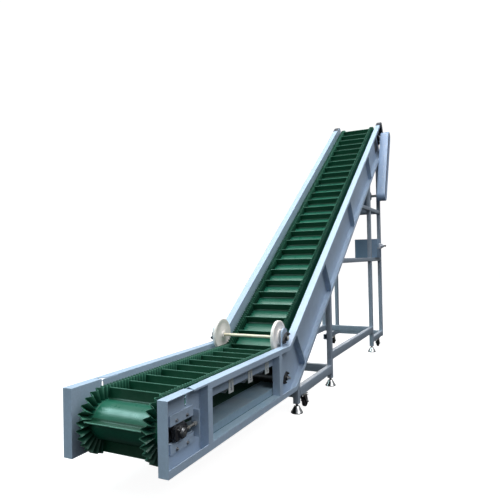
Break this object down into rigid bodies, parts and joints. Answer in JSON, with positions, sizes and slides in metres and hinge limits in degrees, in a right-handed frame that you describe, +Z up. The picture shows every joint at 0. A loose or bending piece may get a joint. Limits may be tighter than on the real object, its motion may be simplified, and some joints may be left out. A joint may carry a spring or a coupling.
{
  "type": "inclined cleated belt conveyor",
  "caption": "Wheeled L-shaped belt conveyor: low infeed, knee with press wheels, steep incline, cleated corrugated-sidewall belt, tube base with castors and levelling feet.",
  "frame": {"origin": "middle of the bounding box footprint, on the floor", "axes": "+Y from the low infeed to the high discharge end, +Z up, +X towards the side with the chain guard and control box"},
  "size_m": [0.875, 5.8983, 3.3638],
  "materials": {
    "frame_paint": "semi-gloss light blue-grey enamel",
    "base_paint": "semi-gloss blue-grey enamel",
    "guard_paint": "semi-gloss light blue enamel",
    "belt_green": "smooth green belt cover",
    "roller_steel": "turned steel",
    "bearing_iron": "black painted casting",
    "zinc_steel": "zinc plated",
    "nylon_white": "machined off-white nylon",
    "castor_black": "black moulded wheel",
    "motor_paint": "blue-grey machine enamel",
    "box_paint": "powder coated",
    "switch_plastic": "moulded black plastic"
  },
  "bodies": {
    "frame": {"base_cross_rails": "base_paint", "belt_cleats": "belt_green", "belt_incline_run": "belt_green", "belt_infeed_run": "belt_green", "belt_return_cleats": "belt_green", "belt_return_incline": "belt_green", "belt_return_infeed": "belt_green", "belt_sidewall_turns": "belt_green", "belt_sidewalls": "belt_green", "belt_turns": "belt_green", "carrying_rollers": "roller_steel", "castor_plates": "zinc_steel", "chain_guard": "guard_paint", "channel_ribs": "frame_paint", "control_box": "box_paint", "drive_motor": "motor_paint", "drive_mounts": "frame_paint", "flange_bearings": "bearing_iron", "frame_cross_ties": "frame_paint", "frame_end_caps": "frame_paint", "front_legs": "base_paint", "gearbox": "motor_paint", "head_drum": "roller_steel", "incline_frame_left": "frame_paint", "incline_frame_right": "frame_paint", "infeed_bottom_chords": "frame_paint", "infeed_top_chords": "frame_paint", "infeed_window_posts": "frame_paint", "joint_plates": "frame_paint", "knee_drum": "roller_steel", "knee_frames": "frame_paint", "levelling_feet": "zinc_steel", "lower_side_rails": "base_paint", "mid_legs": "base_paint", "press_brackets": "frame_paint", "rear_posts": "base_paint", "return_cover_sheets": "frame_paint", "roller_brackets": "frame_paint", "tail_drum": "roller_steel", "tail_plate_left": "frame_paint", "tail_plate_right": "frame_paint", "takeup_bearings": "bearing_iron", "takeup_brackets": "frame_paint", "takeup_screws": "zinc_steel", "upper_cross_rails": "base_paint", "upper_side_rails": "base_paint"},
    "press_wheels_and_axle": {"press_axle": "zinc_steel", "press_wheels": "nylon_white"},
    "control_door": {"control_box_door": "box_paint", "isolator_switch": "switch_plastic"},
    "castor_swivel_front_right": {"castor_fork_front_right": "zinc_steel"},
    "castor_roll_front_right": {"castor_wheel_front_right": "castor_black"},
    "castor_swivel_front_left": {"castor_fork_front_left": "zinc_steel"},
    "castor_roll_front_left": {"castor_wheel_front_left": "castor_black"},
    "castor_swivel_rear_right": {"castor_fork_rear_right": "zinc_steel"},
    "castor_roll_rear_right": {"castor_wheel_rear_right": "castor_black"},
    "castor_swivel_rear_left": {"castor_fork_rear_left": "zinc_steel"},
    "castor_roll_rear_left": {"castor_wheel_rear_left": "castor_black"}
  },
  "joints": [
    {"name": "press_wheel_spin", "type": "hinge", "parent": "frame", "child": "press_wheels_and_axle", "pos_m": [-0.0525, -1.25428, 0.662], "axis": [1, 0, 0], "continuous": true},
    {"name": "control_door_hinge", "type": "hinge", "parent": "frame", "child": "control_door", "pos_m": [0.3295, 2.37173, 1.421], "axis": [0, 0, 1], "range_deg": [0, 110]},
    {"name": "castor_swivel_front_right", "type": "hinge", "parent": "frame", "child": "castor_swivel_front_right", "pos_m": [0.2865, -0.90228, 0.1], "axis": [0, 0, 1], "continuous": true},
    {"name": "castor_wheel_front_right", "type": "hinge", "parent": "castor_swivel_front_right", "child": "castor_roll_front_right", "pos_m": [0.2865, -0.86628, 0.0525], "axis": [1, 0, 0], "continuous": true},
    {"name": "castor_swivel_front_left", "type": "hinge", "parent": "frame", "child": "castor_swivel_front_left", "pos_m": [-0.3915, -0.90228, 0.1], "axis": [0, 0, 1], "continuous": true},
    {"name": "castor_wheel_front_left", "type": "hinge", "parent": "castor_swivel_front_left", "child": "castor_roll_front_left", "pos_m": [-0.3915, -0.86628, 0.0525], "axis": [1, 0, 0], "continuous": true},
    {"name": "castor_swivel_rear_right", "type": "hinge", "parent": "frame", "child": "castor_swivel_rear_right", "pos_m": [0.2755, 2.24072, 0.1], "axis": [0, 0, 1], "continuous": true},
    {"name": "castor_wheel_rear_right", "type": "hinge", "parent": "castor_swivel_rear_right", "child": "castor_roll_rear_right", "pos_m": [0.2755, 2.27672, 0.0525], "axis": [1, 0, 0], "continuous": true},
    {"name": "castor_swivel_rear_left", "type": "hinge", "parent": "frame", "child": "castor_swivel_rear_left", "pos_m": [-0.3805, 2.24072, 0.1], "axis": [0, 0, 1], "continuous": true},
    {"name": "castor_wheel_rear_left", "type": "hinge", "parent": "castor_swivel_rear_left", "child": "castor_roll_rear_left", "pos_m": [-0.3805, 2.27672, 0.0525], "axis": [1, 0, 0], "continuous": true}
  ]
}
